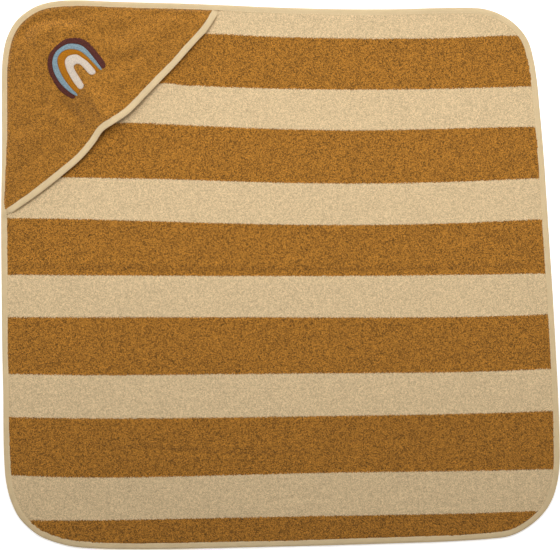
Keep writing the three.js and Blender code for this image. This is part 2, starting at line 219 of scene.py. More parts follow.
SEAM_R, SEAM_S = line_s(SEAM_INSET)
mid = MOUTH_LINE[220]
MOUTH_DEPTH = rs(*mid)[1] - np.interp(rs(*mid)[0], SEAM_R, SEAM_S)
MOUTH_R, MOUTH_S = (k[::-1] for k in rs(MOUTH_LINE[:, 0], MOUTH_LINE[:, 1]))


def past_mouth(x, y):
    """How far points lie beyond the hood's free edge, across the corner, in mm. Negative under the hood."""
    r, s = rs(x, y)
    return s - np.interp(r, MOUTH_R, MOUTH_S)


# ------------------------------------------------------------------ noise, seeded
def value_noise(x, y, size, seed):
    """Smooth noise from -1 to 1 with features of about size mm."""
    rng = np.random.default_rng(seed)
    table = rng.uniform(-1, 1, (256, 256))
    u, v = x / size + 1000, y / size + 1000
    i, j = np.floor(u).astype(int), np.floor(v).astype(int)
    f, g = u - i, v - j
    f, g = f * f * f * (f * (f * 6 - 15) + 10), g * g * g * (g * (g * 6 - 15) + 10)
    i0, i1, j0, j1 = i % 256, (i + 1) % 256, j % 256, (j + 1) % 256
    return (table[i0, j0] * (1 - f) + table[i1, j0] * f) * (1 - g) + (table[i0, j1] * (1 - f) + table[i1, j1] * f) * g


def smoothed(field, times=1):
    for _ in range(times):
        field = (np.roll(field, 1, 0) + 2 * field + np.roll(field, -1, 0)) / 4
        field = (np.roll(field, 1, 1) + 2 * field + np.roll(field, -1, 1)) / 4
    return field


def unit(field):
    return (field - field.mean()) / field.std()


def smoothstep(a, b, x):
    t = np.clip((x - a) / (b - a), 0, 1)
    return t * t * (3 - 2 * t)


# ------------------------------------------------------------------ the laid shape
def steps_to_mm(points):
    return np.array([((x - 280) * PX, (274.5 - y) * PX) for x, y in points]) + SHIFT


CREASE_LINES = [(resample(catmull(steps_to_mm(p), False, 12), 28, False)[0], depth, half) for p, depth, half in CREASES]


def near_line(x, y, line):
    """Distance to a polyline, and how far along it, 0 to 1."""
    best = np.full(x.shape, 1e18)
    at = np.zeros(x.shape)
    n = len(line) - 1
    for k in range(n):
        a, b = line[k], line[k + 1]
        u = b - a
        t = np.clip(((x - a[0]) * u[0] + (y - a[1]) * u[1]) / (u @ u), 0, 1)
        d = (x - a[0] - t * u[0]) ** 2 + (y - a[1] - t * u[1]) ** 2
        m = d < best
        best[m] = d[m]
        at[m] = (k + t[m]) / n
    return np.sqrt(best), at


def creases(x, y):
    out = np.zeros(x.shape)
    for line, depth, half in CREASE_LINES:
        lo, hi = line.min(0) - 4 * half, line.max(0) + 4 * half
        m = (x > lo[0]) & (x < hi[0]) & (y > lo[1]) & (y < hi[1])
        if not m.any():
            continue
        d, at = near_line(x[m], y[m], line)
        fade = smoothstep(0, 0.2, at) * smoothstep(1, 0.8, at) if line[0, 0] > -390 else 1.0
        out[m] += depth * np.exp(-((d / half) ** 2)) * fade
    return out


def lift(x, y):
    """How far the laid cloth stands off the floor, mm: slow waves and soft creases."""
    w = 0.55 * value_noise(x, y, 95, 11) + 0.3 * value_noise(x, y * 0.7, 41, 12) + 0.16 * value_noise(x * 1.6, y * 0.45, 24, 13)
    return 0.9 + w + creases(x, y)


def pillow(inset, at=BIND_WIDTH, over=4.2):
    """0 in the pinched hem under the binding, 1 in the full pile."""
    return np.sqrt(np.clip((inset - at + 2.2) / over, 0, 1))


def pressed_pile(x, y):
    """How far the hood's hem presses the pile below it, in mm."""
    r, _ = rs(x, y)
    past = past_mouth(x, y)
    ends = smoothstep(MOUTH_R[0] + 8, MOUTH_R[0] + 30, r) * smoothstep(MOUTH_R[-1] - 8, MOUTH_R[-1] - 30, r)
    return (1.4 + 0.9 * np.exp(-(((r + 28) / 45) ** 2))) * smoothstep(8.5, 4.5, past) * smoothstep(-40, -15, past) * ends


def towel_top(x, y, inset):
    return lift(x, y) * smoothstep(0, 60, inset) + 2.6 + (TERRY - 2.6) * pillow(inset) - pressed_pile(x, y) * smoothstep(12, 24, inset)


def towel_bottom(x, y, inset):
    return lift(x, y) * smoothstep(0, 60, inset) * 0.85 + 1.3 * (1 - pillow(inset)) + 0.1


# The same for the hood.
HOOD_CREASES = [
    ([(86, 84), (94, 96), (101, 108), (107, 120), (110, 128)], 3.4, 11.0, (0.0, 0.4)),
    ([(20, 46), (23, 32), (32, 23.5), (48, 20), (64, 19.5), (88, 19.5)], -3.5, 9.0, None),
    ([(36, 52), (38, 38), (48, 30), (62, 28), (80, 29)], 1.6, 9.0, None),
    ([(56, 96), (66, 107), (76, 119), (84, 130)], -3.4, 9.0, None),
    ([(46, 104), (56, 116), (64, 128)], 1.6, 9.0, None),
    ([(10, 124), (22, 128), (34, 124)], -1.4, 10.0, None),
    ([(36, 86), (42, 98), (44, 112)], -1.8, 9.0, None),
    ([(14, 148), (34, 137), (50, 126)], 1.8, 12.0, None),
    ([(12, 174), (26, 166), (46, 152)], -1.6, 9.0, None),
    ([(112, 60), (140, 42), (168, 29), (188, 23)], 2.0, 14.0, None),
    ([(106, 72), (126, 60), (148, 52)], -1.0, 9.0, None),
    ([(112, 88), (128, 76), (148, 64)], 1.4, 9.0, None),
    ([(96, 36), (120, 30), (146, 20)], -1.4, 9.0, None),
]
HOOD_LINES = [(resample(catmull(steps_to_mm(p), False, 12), 20, False)[0], d, h, e) for p, d, h, e in HOOD_CREASES]


def hood_waves(x, y):
    """The slack of the hood: a soft fold running from the rainbow to the mouth, smaller ones, and slow waves."""
    out = 0.7 * value_noise(x, y, 46, 21) + 0.7 * value_noise(x, y, 22, 22)
    for line, depth, half, ends in HOOD_LINES:
        lo, hi = line.min(0) - 3 * half, line.max(0) + 3 * half
        m = (x > lo[0]) & (x < hi[0]) & (y > lo[1]) & (y < hi[1])
        if not m.any():
            continue
        d, at = near_line(x[m], y[m], line)
        fade = smoothstep(*ends, at) if ends else smoothstep(0, 0.2, at) * smoothstep(1, 0.8, at)
        out[m] += depth * np.exp(-((d / half) ** 2)) * fade
    return out


def hood_form(x, y):
    """Height of the hood's middle surface less its thickness, mm, before it rests on anything."""
    r, s = rs(x, y)
    m = np.maximum(s - np.interp(r, SEAM_R, SEAM_S), 0)
    rise = (1 - np.exp(-m / HOOD_RISE_LENGTH)) / (1 - math.exp(-MOUTH_DEPTH / HOOD_RISE_LENGTH))
    share = np.clip(m / MOUTH_DEPTH, 0, 1.2)
    off = np.abs(r + 6 + 16 * smoothstep(0.5, 1.0, share))
    tent = 10.4 * share * (0.62 * np.exp(-((off / 56.0) ** 1.4)) + 0.38 * np.exp(-((off / 25.0) ** 1.6)))
    past = past_mouth(x, y)
    # the cloth puffs up between the seam and the mouth, and its bound edge curls up off the pile
    puffed = 1.5 * smoothstep(6, 30, m) * smoothstep(-8, -34, past)
    curl = 1.9 * smoothstep(-24, -6, past) * smoothstep(5, 24, m)
    return HOOD_BASE + HOOD_RISE * rise + tent + puffed + curl + hood_waves(x, y) * smoothstep(0, 14, m) * smoothstep(2, -12, past), m


def hood_under(x, y):
    """Height of the hood's underside, mm: it never sinks into the cloth below."""
    form, m = hood_form(x, y)
    rest = lift(x, y) * smoothstep(0, 60, m) + TERRY + 0.3 + 1.0 * smoothstep(10, 25, m)
    return np.where(m > 1, np.maximum(form, rest), form)


def hood_top(x, y):
    form = hood_form(x, y)[0]
    return np.maximum(form + HOOD_TERRY, hood_under(x, y) + 1.5)


def painted_slope_shade_of(height, x, y, gain):
    """Painted shade from the slope: colour lighter on slopes that face the top, where the key light stands, and darker
    on slopes that face away from it.
    """
    gx = (height(x + 1.5, y) - height(x - 1.5, y)) / 3
    gy = (height(x, y + 1.5) - height(x, y - 1.5)) / 3
    return np.clip(gain * (-0.1 * gx - gy), -0.4, 0.4)


# ------------------------------------------------------------------ mesh helpers
def mesh_object(name, co_mm, quads, uv=None, attributes=None, smooth=True):
    mesh = bpy.data.meshes.new(name)
    co = np.ascontiguousarray(co_mm * 0.001, np.float32)
    quads = np.ascontiguousarray(quads, np.int32)
    mesh.vertices.add(len(co))
    mesh.vertices.foreach_set("co", co.ravel())
    mesh.loops.add(quads.size)
    mesh.loops.foreach_set("vertex_index", quads.ravel())
    mesh.polygons.add(len(quads))
    mesh.polygons.foreach_set("loop_start", np.arange(0, quads.size, quads.shape[1], dtype=np.int32))
    mesh.update(calc_edges=True)
    mesh.validate()
    if smooth:
        mesh.polygons.foreach_set("use_smooth", np.ones(len(mesh.polygons), bool))
    if uv is not None:
        layer = mesh.uv_layers.new(name="cloth")
        layer.data.foreach_set("uv", np.ascontiguousarray(uv[quads.ravel()], np.float32).ravel())
    for key, values in (attributes or {}).items():
        a = mesh.attributes.new(key, "FLOAT", "POINT")
        a.data.foreach_set("value", np.ascontiguousarray(values, np.float32))
    mesh.update()
    o = bpy.data.objects.new(name, mesh)
    bpy.context.scene.collection.objects.link(o)
    return o


def mm_uv(x, y):
    """Plain coordinates over the laid cloth, in SPAN steps of PX."""
    return np.stack([((x - SHIFT[0]) / PX + 280) / SPAN, (274.5 - (y - SHIFT[1]) / PX) / SPAN], 1)


STRIPE_WIDE = 48.0      # steps of PX, for the part stripes beyond the first and last edge


def stripe_count(x, y):
    """How many stripe edges lie above a point, with the share of the stripe that it is in: brown where it is odd."""
    sx = (x - SHIFT[0]) / PX + 280
    sy = 274.5 - (y - SHIFT[1]) / PX
    lines = []
    for kx, ky in STRIPES:
        c = np.polyfit((np.array(kx) - 280) / 280, ky, 4 if len(kx) > 8 else 3)
        line = np.polyval(c, (np.clip(sx, kx[0], kx[-1]) - 280) / 280)
        if len(lines) < len(DRAWN):
            at, rise, length, power = DRAWN[len(lines)]
            line = line - rise * np.exp(-((np.maximum(sx - at, 0) / length) ** power))
        lines.append(line)
    v = 1 + (sy - lines[0]) / STRIPE_WIDE
    for k in range(len(lines)):
        last = k + 1 == len(lines)
        width = STRIPE_WIDE if last else lines[k + 1] - lines[k]
        v = np.where(sy > lines[k], k + 1 + (sy - lines[k]) / width, v)
    return v


def grid_solid(name, xs, ys, inside, top, bottom, uv_of, extra=None):
    """A closed cloth from two height fields on one grid. inside says which grid points belong to it."""
    nx, ny = len(xs), len(ys)
    cell = inside[:-1, :-1] & inside[1:, :-1] & inside[:-1, 1:] & inside[1:, 1:]
    used = np.zeros((nx, ny), bool)
    used[:-1, :-1] |= cell
    used[1:, :-1] |= cell
    used[:-1, 1:] |= cell
    used[1:, 1:] |= cell
    number = np.full((nx, ny), -1)
    number[used] = np.arange(used.sum())
    count = used.sum()
    i, j = np.nonzero(cell)
    a, b, c, d = number[i, j], number[i + 1, j], number[i + 1, j + 1], number[i, j + 1]
    top_faces = np.stack([a, b, c, d], 1)
    bottom_faces = np.stack([a, d, c, b], 1) + count
    walls = []
    pad = np.zeros((nx + 1, ny + 1), bool)
    pad[1:nx, 1:ny] = cell
    # edges along x at (i..i+1, j): cell above is cell[i, j], below is cell[i, j-1]
    for i_, j_, flip in (
        (*np.nonzero(pad[1:nx, 1 : ny + 1] & ~pad[1:nx, 0:ny]), False),
        (*np.nonzero(~pad[1:nx, 1 : ny + 1] & pad[1:nx, 0:ny]), True),
    ):
        p, q = number[i_, j_], number[i_ + 1, j_]
        f = np.stack([q, p, p + count, q + count], 1)
        walls.append(f[:, ::-1] if flip else f)
    for i_, j_, flip in (
        (*np.nonzero(pad[1 : nx + 1, 1:ny] & ~pad[0:nx, 1:ny]), False),
        (*np.nonzero(~pad[1 : nx + 1, 1:ny] & pad[0:nx, 1:ny]), True),
    ):
        p, q = number[i_, j_], number[i_, j_ + 1]
        f = np.stack([p, q, q + count, p + count], 1)
        walls.append(f[:, ::-1] if flip else f)
    X, Y = top[0], top[1]
    upper = np.stack([X[used], Y[used], top[2][used]], 1)
    lower = np.stack([bottom[0][used], bottom[1][used], bottom[2][used]], 1)
    co = np.vstack([upper, lower])
    quads = np.vstack([top_faces, bottom_faces] + walls)
    uv = uv_of(co[:, 0], co[:, 1])
    attributes = {k: np.concatenate([v[0][used], v[1][used]]) for k, v in (extra or {}).items()}
    return mesh_object(name, co, quads, uv, attributes)


def sweep(name, rings, closed, uv=None, attributes=None, caps=True):
    """A closed surface from rings: array (stations, points, 3) in mm."""
    n, m = rings.shape[:2]
    idx = np.arange(n * m).reshape(n, m)
    rows = idx if closed else idx[:-1]
    nxt = np.roll(idx, -1, 0) if closed else idx[1:]
    a, b = rows, np.roll(rows, -1, 1)
    d, c = nxt, np.roll(nxt, -1, 1)
    quads = np.stack([a, b, c, d], -1).reshape(-1, 4)
    o = mesh_object(name, rings.reshape(-1, 3), quads, None if uv is None else uv.reshape(-1, 2), attributes)
    if not closed and caps:
        import bmesh

        bm = bmesh.new()
        bm.from_mesh(o.data)
        bmesh.ops.holes_fill(bm, edges=[e for e in bm.edges if e.is_boundary], sides=0)
        bmesh.ops.recalc_face_normals(bm, faces=bm.faces)
        bm.to_mesh(o.data)
        bm.free()
    return o


def facing_out(o):
    """Turns a closed mesh's faces outward if they point in."""
    m = o.data
    m.calc_loop_triangles()
    n = len(m.loop_triangles)
    t = np.empty(n * 3, np.int32)
    m.loop_triangles.foreach_get("vertices", t)
    v = np.empty(len(m.vertices) * 3, np.float32)
    m.vertices.foreach_get("co", v)
    p = v.reshape(-1, 3).astype(float)[t.reshape(-1, 3)]
    if np.einsum("ij,ij->", p[:, 0], np.cross(p[:, 1], p[:, 2])) < 0:
        m.flip_normals()
    return o


# ------------------------------------------------------------------ materials
def node(tree, kind, **values):
    n = tree.nodes.new(kind)
    for key, value in values.items():
        setattr(n, key, value)
    return n


def start(name):
    m = bpy.data.materials.new(name)
    m.use_nodes = True
    t = m.node_tree
    shader = t.nodes["Principled BSDF"]
    shader.inputs["Specular IOR Level"].default_value = 0.2
    return m, t, shader


def scaled_uv(t, sx, sy=None, layer="cloth"):
    """The cloth's coordinates in units of 1/sx, 1/sy of the whole span."""
    uv = node(t, "ShaderNodeUVMap", uv_map=layer)
    k = node(t, "ShaderNodeVectorMath", operation="MULTIPLY")
    k.inputs[1].default_value = (sx, sy or sx, 1)
    t.links.new(uv.outputs[0], k.inputs[0])
    return k.outputs[0]


def noise_node(t, vector, scale, detail=2.0, rough=0.5, distortion=0.0):
    n = node(t, "ShaderNodeTexNoise")
    n.inputs["Scale"].default_value = scale
    n.inputs["Detail"].default_value = detail
    n.inputs["Roughness"].default_value = rough
    n.inputs["Distortion"].default_value = distortion
    t.links.new(vector, n.inputs["Vector"])
    return n.outputs["Fac"]


def math_node(t, op, a, b=None, c=None, clamp=False):
    n = node(t, "ShaderNodeMath", operation=op, use_clamp=clamp)
    for k, v in enumerate((a, b, c)):
        if v is None:
            continue
        if isinstance(v, (int, float)):
            n.inputs[k].default_value = v
        else:
            t.links.new(v, n.inputs[k])
    return n.outputs[0]


def span_node(t, value, lo, hi, to_lo, to_hi):
    n = node(t, "ShaderNodeMapRange")
    t.links.new(value, n.inputs[0])
    for k, v in zip((1, 2, 3, 4), (lo, hi, to_lo, to_hi)):
        n.inputs[k].default_value = v
    return n.outputs[0]


def mix_colour(t, fac, a, b, blend="MIX"):
    n = node(t, "ShaderNodeMix", data_type="RGBA", blend_type=blend)
    for socket, v in ((0, fac), (6, a), (7, b)):
        if isinstance(v, (int, float)):
            n.inputs[socket].default_value = v
        elif isinstance(v, tuple):
            n.inputs[socket].default_value = (*v, 1)
        else:
            t.links.new(v, n.inputs[socket])
    return n.outputs[2]


def srgb(r, g, b):
    return tuple(c / 12.92 if c <= 0.04045 else ((c + 0.055) / 1.055) ** 2.4 for c in (r / 255, g / 255, b / 255))


def terry_finish(t, shader, colour, contrast):
    """The grain of the loops over a plain or striped colour: painted shade in the hollows and between the loops with
    lighter tips, stray shades, fine fibres, and painted shade on slopes away from the top.
    """
    pile = node(t, "ShaderNodeAttribute", attribute_name="pile")
    wide = scaled_uv(t, SPAN * PX)           # in mm
    tufts = node(t, "ShaderNodeTexVoronoi", feature="F1")
    tufts.inputs["Scale"].default_value = 0.9
    t.links.new(wide, tufts.inputs["Vector"])
    shade = node(t, "ShaderNodeSeparateColor")
    t.links.new(tufts.outputs["Color"], shade.inputs[0])
    loops = noise_node(t, wide, 0.8, 2.0, 0.6, 0.6)
    fibres = noise_node(t, wide, 1.9, 1.0, 0.5, 0.6)
    patch = noise_node(t, wide, 0.035, 2.0, 0.5)
    streak = noise_node(t, scaled_uv(t, SPAN * PX, SPAN * PX * 0.08), 0.12, 1.0, 0.5)
    # painted shade: darker where the loops' height field dips, lighter on their tips
    hollow_shade = span_node(t, pile.outputs["Fac"], -1.8, 1.8, 0.94, 1.06)
    grain = span_node(t, shade.outputs[0], 0.0, 1.0, 0.58, 1.42)
    # painted shade: darker towards the gaps between loops
    between = span_node(t, tufts.outputs["Distance"], 0.2, 0.75, 1.05, 0.84)
    fine = span_node(t, loops, 0.3, 0.7, 0.96, 1.04)
    slow = span_node(t, patch, 0.3, 0.7, 0.982, 1.018)
    rib = span_node(t, streak, 0.3, 0.7, 0.985, 1.015)
    k = math_node(t, "MULTIPLY", hollow_shade, grain)
    k = math_node(t, "MULTIPLY", k, fine)
    k = math_node(t, "MULTIPLY", k, between)
    k = math_node(t, "MULTIPLY", k, slow)
    k = math_node(t, "MULTIPLY", k, rib)
    k = math_node(t, "ADD", math_node(t, "MULTIPLY", math_node(t, "SUBTRACT", k, 1.0), contrast), 1.0)
    k = math_node(t, "MAXIMUM", k, 0.25)
    # painted shade: colour lighter on slopes towards the top, where the key light is, darker on slopes away from it
    slope_shade_node = node(t, "ShaderNodeAttribute", attribute_name="painted_slope_shade")
    k = math_node(t, "MULTIPLY", k, span_node(t, slope_shade_node.outputs["Fac"], -0.4, 0.4, 0.8, 1.2))
    grey = node(t, "ShaderNodeCombineColor")
    for s in (0, 1, 2):
        t.links.new(k, grey.inputs[s])
    out = mix_colour(t, 1.0, colour, grey.outputs[0], "MULTIPLY")
    t.links.new(out, shader.inputs["Base Color"])
    bump = node(t, "ShaderNodeBump")
    bump.inputs["Strength"].default_value = 0.5
    bump.inputs["Distance"].default_value = 0.0006
    height = math_node(t, "ADD", loops, math_node(t, "MULTIPLY", fibres, 0.5))
    t.links.new(height, bump.inputs["Height"])
    t.links.new(bump.outputs[0], shader.inputs["Normal"])
    shader.inputs["Roughness"].default_value = 0.95
    shader.inputs["Sheen Weight"].default_value = 0.12
    shader.inputs["Sheen Roughness"].default_value = 0.6
    shader.inputs["Specular IOR Level"].default_value = 0.12


BROWN = (0.362, 0.1525, 0.0181)
CREAM = (0.672, 0.499, 0.284)
HOOD = (0.353, 0.1505, 0.0185)
TAPE = (0.69, 0.525, 0.302)


def striped_terry():
    m, t, shader = start("striped_terry")
    count = node(t, "ShaderNodeAttribute", attribute_name="stripe")
    wide = scaled_uv(t, SPAN * PX)
    # at an edge, single loops of one colour stand among the other
    wobble = noise_node(t, wide, 0.62, 2.0, 0.65)
    off = span_node(t, wobble, 0.25, 0.75, -1.5 / STRIPE_WIDE, 1.5 / STRIPE_WIDE)
    v = math_node(t, "ADD", count.outputs["Fac"], off)
    brown = math_node(t, "GREATER_THAN", math_node(t, "MODULO", v, 2.0), 1.0)
    colour = mix_colour(t, brown, CREAM, BROWN)
    terry_finish(t, shader, colour, span_node(t, brown, 0, 1, 0.62, 1.6))
    return m


def plain_terry(name, colour):
    m, t, shader = start(name)
    base = node(t, "ShaderNodeRGB")
    base.outputs[0].default_value = (*colour, 1)
    terry_finish(t, shader, base.outputs[0], 1.4)
    return m


def woven_tape():
    """Folded cotton tape: a fine plain weave, slightly shaded along its length. Its UVs are millimetres / 100."""
    m, t, shader = start("binding_tape")
    mm = scaled_uv(t, 100.0)
    split = node(t, "ShaderNodeSeparateXYZ")
    t.links.new(mm, split.inputs[0])
    warp = math_node(t, "SINE", math_node(t, "MULTIPLY", split.outputs[0], 2 * math.pi / 0.55))
    weft = math_node(t, "SINE", math_node(t, "MULTIPLY", split.outputs[1], 2 * math.pi / 0.5))
    weave = math_node(t, "MULTIPLY", warp, weft)
    slub = noise_node(t, mm, 0.9, 3.0, 0.6)
    slow = noise_node(t, mm, 0.06, 2.0, 0.5)
    k = math_node(t, "MULTIPLY", span_node(t, weave, -1, 1, 0.95, 1.03), span_node(t, slub, 0.3, 0.7, 0.96, 1.04))
    k = math_node(t, "MULTIPLY", k, span_node(t, slow, 0.3, 0.7, 0.965, 1.035))
    grey = node(t, "ShaderNodeCombineColor")
    for s in (0, 1, 2):
        t.links.new(k, grey.inputs[s])
    t.links.new(mix_colour(t, 1.0, TAPE, grey.outputs[0], "MULTIPLY"), shader.inputs["Base Color"])
    bump = node(t, "ShaderNodeBump")
    bump.inputs["Strength"].default_value = 0.35
    bump.inputs["Distance"].default_value = 0.0002
    t.links.new(math_node(t, "ADD", weave, math_node(t, "MULTIPLY", slub, 1.5)), bump.inputs["Height"])
    t.links.new(bump.outputs[0], shader.inputs["Normal"])
    shader.inputs["Roughness"].default_value = 0.82
    shader.inputs["Sheen Weight"].default_value = 0.05
    return m


def thread(name, colour, shine=0.45, twist=0.8, grain=0.34):
    """Twisted thread. Its UVs are millimetres / 100 along and across."""
    m, t, shader = start(name)
    mm = scaled_uv(t, 100.0)
    split = node(t, "ShaderNodeSeparateXYZ")
    t.links.new(mm, split.inputs[0])
    ply = math_node(t, "SINE", math_node(t, "MULTIPLY", math_node(t, "ADD", split.outputs[0], split.outputs[1]), 2 * math.pi / twist))
    speck = noise_node(t, mm, 0.62, 3.0, 0.75)
    k = math_node(t, "MULTIPLY", span_node(t, ply, -1, 1, 0.9, 1.06), span_node(t, speck, 0.3, 0.7, 1 - grain, 1 + grain))
    grey = node(t, "ShaderNodeCombineColor")
    for s in (0, 1, 2):
        t.links.new(k, grey.inputs[s])
    t.links.new(mix_colour(t, 1.0, colour, grey.outputs[0], "MULTIPLY"), shader.inputs["Base Color"])
    bump = node(t, "ShaderNodeBump")
    bump.inputs["Strength"].default_value = 0.5
    bump.inputs["Distance"].default_value = 0.00015
    t.links.new(math_node(t, "ADD", ply, speck), bump.inputs["Height"])
    t.links.new(bump.outputs[0], shader.inputs["Normal"])
    shader.inputs["Roughness"].default_value = shine
    shader.inputs["Specular IOR Level"].default_value = 0.14
    return m


# ------------------------------------------------------------------ the striped cloth
STEP = 1.6
RNG = np.random.default_rng(7)


def cloth_grid(x0, x1, y0, y1, step):
    xs = np.arange(x0, x1 + step, step)
    ys = np.arange(y0, y1 + step, step)
    X, Y = np.meshgrid(xs, ys, indexing="ij")
    return xs, ys, X, Y


def loops(shape, seed):
    """A field of terry loops, one value a grid point, mean 0 and deviation 1."""
    rng = np.random.default_rng(seed)
    raw = rng.normal(size=shape)
    return unit(0.75 * raw + 0.6 * unit(smoothed(raw, 1)) + 0.1 * unit(smoothed(rng.normal(size=shape), 3)))


def rim_of(inside):
    """Grid points on the border of the cells that will be built."""
    cell = inside[:-1, :-1] & inside[1:, :-1] & inside[:-1, 1:] & inside[1:, 1:]
    full = np.zeros(inside.shape, int)
    full[:-1, :-1] += cell
    full[1:, :-1] += cell
    full[:-1, 1:] += cell
    full[1:, 1:] += cell
    return (full > 0) & (full < 4)


def make_towel():
    xs, ys, X, Y = cloth_grid(-411, 411, -404, 404, STEP)
    flat = np.stack([X.ravel(), Y.ravel()], 1)
    inset, near = np.full(len(flat), 100.0), np.zeros(len(flat), int)
    x, y = flat[:, 0], flat[:, 1]
    outer = ~(((np.abs(x) < 340) & (np.abs(y) < 285)) | ((np.abs(x) < 285) & (np.abs(y) < 350)))
    inset[outer], near[outer] = beside(EDGE_TREE, EDGE, EDGE_IN, flat[outer])
    rim_at = 2.0
    inside = (inset > rim_at).reshape(X.shape)
    rim = rim_of(inside)
    pile = loops(X.shape, 3)
    push = np.clip((inset.reshape(X.shape) - 7.2) / 1.6, 0, 1)
    jx, jy = RNG.uniform(-0.42, 0.42, X.shape) * push, RNG.uniform(-0.42, 0.42, X.shape) * push
    slide = np.where(rim.ravel(), rim_at - inset, 0.0)[:, None] * EDGE_IN[near]
    PXx = X + jx + slide[:, 0].reshape(X.shape)
    PXy = Y + jy + slide[:, 1].reshape(X.shape)
    ins = np.where(rim, rim_at, inset.reshape(X.shape))
    # painted shade on the towel's creases and waves, from their slope towards the light
    painted_slope_shade = painted_slope_shade_of(lift, PXx, PXy, 0.55) * np.clip((ins - 14) / 14, 0, 1)
    zt = towel_top(PXx, PXy, ins) + 0.22 * pile * push
    under = loops(X.shape, 4)
    zb = np.maximum(towel_bottom(PXx, PXy, ins) + 0.22 * under * push, 0.02)
    zb = np.minimum(zb, zt - 1.0)
    count = stripe_count(X, Y)
    return grid_solid("towel_cloth", xs, ys, inside, (PXx, PXy, zt), (PXx, PXy, zb), mm_uv, {"pile": (pile, under), "stripe": (count, count), "painted_slope_shade": (painted_slope_shade, 0 * painted_slope_shade)})


# ------------------------------------------------------------------ tapes
def tape_section(width, low, high, leaf, steps=9):
    """A tape folded over an edge, as (distance from the fold, height) round its own closed outline."""
    mid, half = (low + high) / 2, (high - low) / 2
    ease = lambda k: np.sin(np.clip(k, 0, 1) * math.pi / 2)
    u = np.concatenate([[0, 0.18, 0.55, 1.1, 1.9, 2.9], np.linspace(4.2, width - 0.25, steps - 4), [width]])
    crown = np.where(u < 2.9, ease(u / 2.9), 1.0)
    top = [(a, mid + half * b - (0.22 if a > width - 0.01 else 0)) for a, b in zip(u, crown)]
    inner = [(max(a, leaf * 1.3), mid + (half - leaf) * (b if a > 1.2 else 0.25 * b)) for a, b in zip(u, crown)]
    lower_inner = [(a, 2 * mid - b) for a, b in inner]
    lower_outer = [(a, 2 * mid - b) for a, b in top[::-1]]
    # round the outline: upper outside from the fold to the leaf's edge, back inside, then the lower leaf
    ring = top[1:] + inner[::-1][:-1] + lower_inner + lower_outer
    return np.array(ring)


def pulse(s, pitch=STITCH_PITCH):
    """1 in the middle of each stitch, 0 between stitches."""
    return 0.5 - 0.5 * np.cos(2 * math.pi * s / pitch)


def band_side(pts):
    """Signed distance of points from the hood's free edge, positive towards the towel."""
    return beside(MOUTH_TREE, MOUTH_LINE, MOUTH_OUT, pts)[0]


EDGE_STATIONS = EDGE[::2]
EDGE_NORMALS = EDGE_IN[::2]
EDGE_AT = np.arange(len(EDGE_STATIONS)) * EDGE_LENGTH / len(EDGE_STATIONS)
EDGE_SIDE = band_side(EDGE_STATIONS + EDGE_NORMALS * 5)


def edge_raise(side):
    """How much higher the binding's upper leaf lies where it also holds the hood and its band."""
    return 1.25 * smoothstep(5, -5, side) + 1.5 * np.exp(-((side / 7.0) ** 2))


def edge_wave(s):
    k = 2 * math.pi * s / EDGE_LENGTH
    return 0.22 + 0.14 * np.sin(9 * k + 1) + 0.1 * np.sin(23 * k + 2.2) + 0.06 * np.sin(57 * k)


def loop_noise(s, length, size, seed):
    """Smooth noise along a line that meets itself."""
    n = max(8, int(round(length / size)))
    v = np.random.default_rng(seed).uniform(-1, 1, n)
    f = s / length * n
    i = np.floor(f).astype(int)
    t = f - i
    t = t * t * (3 - 2 * t)
    return v[i % n] * (1 - t) + v[(i + 1) % n] * t


def make_edge_binding():
    section = tape_section(BIND_WIDTH, 0.25, BIND_TOP, 0.6)
    n, m = len(EDGE_STATIONS), len(section)
    s = EDGE_AT[:, None]
    u = np.repeat(section[None, :, 0], n, 0)
    z = np.repeat(section[None, :, 1], n, 0)
    upper = z > 2.0
    # the width wanders a little, the leaf dips at each stitch and scallops between them
    wide = 1 + 0.05 * loop_noise(s, EDGE_LENGTH, 37, 31) + 0.02 * loop_noise(s, EDGE_LENGTH, 9, 32)
    tuck = np.exp(-(((u - STITCH_INSET) / 0.9) ** 2))
    dip = tuck * (0.22 + 0.2 * pulse(s))
    z = z + np.where(upper, -dip, dip * 0.5)
    u = u * wide + np.where(u > 8.3, 0.22 * (pulse(s) - 0.5) + 0.2 * loop_noise(s, EDGE_LENGTH, 5, 33), 0)
    pucker = 0.13 * loop_noise(s, EDGE_LENGTH, 4.2, 34) + 0.1 * loop_noise(s, EDGE_LENGTH, 11, 35)
    z = z + pucker * smoothstep(0, 3, u) * np.where(upper, 1, -0.3)
    lift_up = edge_raise(EDGE_SIDE)[:, None]
    z = z + np.where(upper, lift_up * smoothstep(-0.5, 2.6, u), 0.0) + edge_wave(s)
    xy = EDGE_STATIONS[:, None] + EDGE_NORMALS[:, None] * u[..., None]
    rings = np.concatenate([xy, z[..., None]], 2)
    d = np.concatenate([[0], np.cumsum(np.linalg.norm(np.diff(section, axis=0), axis=1))])
    # the weave's coordinates: along the tape and round its section, in millimetres / 100
    uv = np.stack([np.repeat(s, m, 1) / 100, np.repeat(d[None], n, 0) / 100], 2)
    return facing_out(sweep("edge_binding", rings, True, uv))


